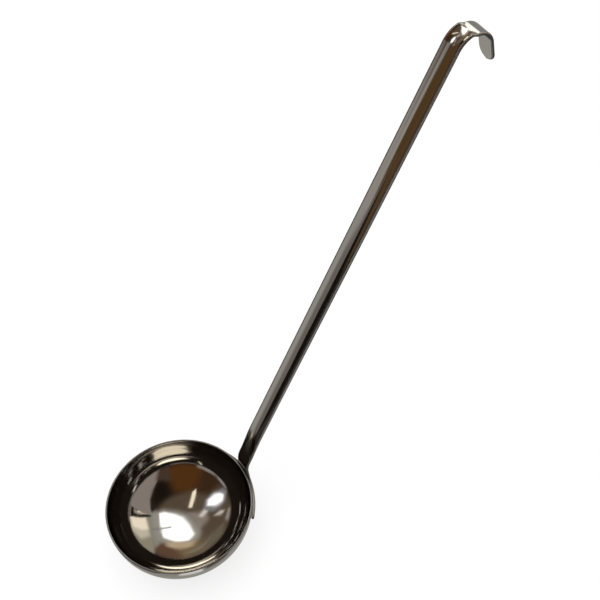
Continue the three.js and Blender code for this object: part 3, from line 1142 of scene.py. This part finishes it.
# %% Boards at the foot of the tent
hook_side = [(151, -1), (155, 1), (161, 4), (163, 8)]
edge = hook_side + [(163, 22), (216, 22), (216, -1)]
hang_card("standing_grey", standing, edge, (0.46, 0.43, 0.40), 1.0, 2)
edge = hook_side + [(163, 12), (95, 12), (95, -1)]
hang_card("standing_brown", standing, edge, (0.13, 0.07, 0.025), 1.0, 2)
edge = [(10, -1), (10, 18), (70, 18), (70, -1)]
hang_card("standing_mid_grey", standing, edge, (0.34, 0.32, 0.30), 1.0, 3)
edge = [(240, -1), (240, 14), (320, 14), (320, -1)]
hang_card("standing_dim", standing, edge, (0.08, 0.075, 0.07), 1.0, 4)
print(len(cards_hung), "cards hung")

# %% [markdown]
# The dish is the bowl's flat middle, where a ray meets the metal once. It shows the sky like a wide lens,
# so each card there is one patch of the dish: brown and black at the top, grey on the left, cream and
# white below.

# %% Dim cards on the sky
def dish_card(name, corners, colour, strength, soft):
    hang_card(name, on_sky, corners, colour, strength, soft, "first")


edge = [(-66, 18), (-52, 50), (-20, 68), (22, 66), (48, 44), (40, 2), (10, -12), (-20, -12), (-62, 2)]
dish_card("ceiling_card", edge, (0.15, 0.108, 0.074), 1.0, 6)
dish_card("high_card", [(-30, 50), (-22, 62), (10, 66), (12, 52), (-8, 48)], (0.22, 0.18, 0.13), 1.0, 6)
edge = [(0, 38), (2, 60), (24, 62), (28, 48), (20, 36), (10, 40)]
dish_card("khaki_card", edge, (0.29, 0.21, 0.115), 1.0, 8)
dish_card("rust_card", [(22, 36), (24, 58), (44, 46), (42, 28), (33, 27)], (0.19, 0.10, 0.06), 1.0, 8)
edge = [(-74, -4), (-59, 9), (-34, 9), (-20, -4), (-34, -14), (-61, -29)]
dish_card("umber_card", edge, (0.070, 0.034, 0.016), 1.0, 9)
edge = [(-62, -30), (-46, -19), (-32, -11), (-14, -9), (-4, -16), (-4, -43)]
edge += [(-7, -73), (-40, -66), (-59, -47)]
dish_card("brown_card", edge, (0.130, 0.051, 0.013), 1.0, 9)
edge = [(31, -12), (31, 5), (72, -12), (72, -24), (63, -43), (47, -59), (29, -70), (11, -75), (0, -75)]
edge += [(5, -61), (18, -43), (29, -25)]
dish_card("grey_card", edge, (0.39, 0.335, 0.30), 1.0, 2)
edge = [(12, -56), (4, -74), (-18, -72), (-8, -42), (2, -42)]
dish_card("shade_card", edge, (0.10, 0.062, 0.045), 1.0, 6)
edge = [(3, -20), (11, -15), (22, -16), (25, -25), (21, -38), (12, -47), (3, -48), (-1, -36)]
dish_card("black_flag", edge, (0.018, 0.011, 0.007), 1.0, 7)
dish_card("gap_card", [(24, -5), (26, 28), (42, 36), (41, 12), (38, -7)], (0.40, 0.39, 0.33), 1.0, 3)
print(len(cards_hung), "cards hung")

# %% Sand and cream cards
edge = [(37, 8), (42, 34), (50, 46), (60, 38), (72, 14), (72, -4), (58, 2)]
dish_card("sand_card_far", edge, (0.45, 0.40, 0.31), 1.0, 3)
edge = [(40, 2), (42, 20), (58, 22), (70, 8), (73, -22), (58, -15)]
dish_card("sand_card_near", edge, (0.90, 0.81, 0.66), 1.0, 4)
dish_card("cream_card", [(40, -8), (41, 12), (52, 10), (67, 3), (70, -20)], (1.0, 0.88, 0.71), 1.45, 3)
print(len(cards_hung), "cards hung")

# %% White soft boxes and their glow
dish_card("side_haze", [(-2, 16), (-18, 24), (-14, 32), (0, 34)], (0.40, 0.33, 0.28), 1.0, 4)
edge = [(-2, 36), (2, 42), (22, 38), (36, 27), (34, 8), (30, -4), (16, -2), (6, 8), (-1, 18)]
dish_card("main_glow", edge, (0.48, 0.46, 0.41), 1.0, 4)
edge = [(5, 42), (10, 47), (20, 44), (29, 37), (26, 32), (14, 37)]
dish_card("tan_glow", edge, (0.78, 0.60, 0.40), 1.0, 4)
edge = [(4, 34), (9, 37), (18, 33), (26, 26), (23.5, 12), (21.5, 1), (16, 3), (9, 11), (5, 18)]
dish_card("main_soft_box", edge, (1.0, 1.0, 0.97), 3.3, 3)
dish_card("soft_box_bar", [(14, 19.5), (15, 21.5), (37, 14.5), (36, 12.5)], (0.35, 0.34, 0.32), 1.0, 0.8)
edge = [(-66, 25), (-48, 31), (-26, 29), (-14, 21), (-26, 12.5), (-44, 10.5), (-62, 16)]
dish_card("side_glow", edge, (0.36, 0.35, 0.36), 1.0, 4)
edge = [(-55, 23), (-46, 27.5), (-33, 25), (-23, 19), (-29, 14), (-42, 13.5), (-50, 17)]
dish_card("side_soft_box", edge, (0.96, 0.96, 1.0), 2.7, 4)
edge = [(-27, -7.2), (-21.6, -0.9), (-7.2, 12.6), (-4.5, 10.8), (-19.8, -5.4)]
dish_card("strip_box", edge, (1.0, 0.88, 0.69), 1.6, 1.2)
edge = [(-40.5, 39.6), (-32.4, 38.7), (-21.6, 32.8), (-32.4, 35)]
dish_card("small_box_high", edge, (1.0, 0.92, 0.86), 1.2, 3)
dish_card("small_box_near", [(-19, 24.3), (-10, 26), (-7, 23.4), (-16, 20.7)], (1.0, 0.92, 0.86), 1.1, 2.5)
dish_card("small_box_far", [(-50, 46), (-36, 55), (-33, 48.6), (-47, 43)], (1.0, 0.84, 0.75), 0.5, 3)
print(len(cards_hung), "cards hung")

# %% [markdown]
# The wall round the dish is almost black, but for two striped patches across from each other and a few
# sparks. One bright card gives both patches, because the steep wall folds it into stripes, with a dimmer
# card for its glow, and small cards give the sparks. The strap's own image in the dish would be black as
# well, so a grey card fills it and a pale one lies beside that.

# %% Cards for the bowl's wall
edge = [(-4, 5), (-8, 22), (-7, 38), (8, 40), (24, 35), (28, 22), (27, 11), (18, 4)]
hang_card("wall_glow", on_sky, edge, (0.9, 0.8, 0.6), 1.0, 4, "later")
edge = [(-2, 6), (-2, 15), (-6.5, 20), (-6.5, 37), (8, 38), (22, 33), (26, 22), (26, 13), (18, 6)]
hang_card("wall_stripes", on_sky, edge, (1.0, 0.92, 0.76), 4.2, 1.5, "later")
edge = [(-14, -14), (-14, -4), (-4, 8), (14, 6), (9, -4), (5, -12), (-4, -15)]
hang_card("wall_strap", on_sky, edge, (0.74, 0.64, 0.57), 1.0, 2, "later")
hang_card("wall_low", on_sky, [(-8, -12), (-7, 0), (5, 0), (3, -11)], (1.0, 0.9, 0.74), 1.2, 2, "later")


def diamond(a, b, reach):
    return [(a - reach, b), (a, b + reach), (a + reach, b), (a, b - reach)]


sparks = [(-22, 19, 3), (-57, 15, 9), (-34, 8, 4), (-24, 2, 3), (-16, 17, 2.5)]
for number, (a, b, reach) in enumerate(sparks):
    hang_card("wall_spark_%d" % number, on_sky, diamond(a, b, reach), (1.0, 0.97, 0.94), 2.0, 1, "later")
print(len(cards_hung), "cards hung")

# %% [markdown]
# The hook's crest is small, so small cards beside it fill it: a white one for its near half and a grey
# one for the half that turns down to the tongue. They are kept for rays that come from close by, so the
# bowl doesn't show them.

# %% Cards beside the hook
HOOK_X, HOOK_Z, HOOK_REACH, HOOK_LAYER_STEP = 0.2125, 0.345, 0.09, 0.0002


def by_hook(turn, lift, layer):
    reach = HOOK_REACH - HOOK_LAYER_STEP * layer
    turn, lift = math.radians(turn), math.radians(lift)
    flat = reach * math.cos(lift)
    return (HOOK_X + flat * math.cos(turn), flat * math.sin(turn), HOOK_Z + reach * math.sin(lift))


edge = [(28, 6), (28, 24), (44, 26), (52, 8)]
hang_card("crest_grey", by_hook, edge, (0.34, 0.335, 0.33), 1.0, 2, "close")
edge = [(38, 25), (48, 27), (62, 34), (72, 48), (58, 52), (44, 42)]
hang_card("crest_white", by_hook, edge, (1.0, 0.98, 0.93), 1.9, 2, "close")
print(len(cards_hung), "cards hung")
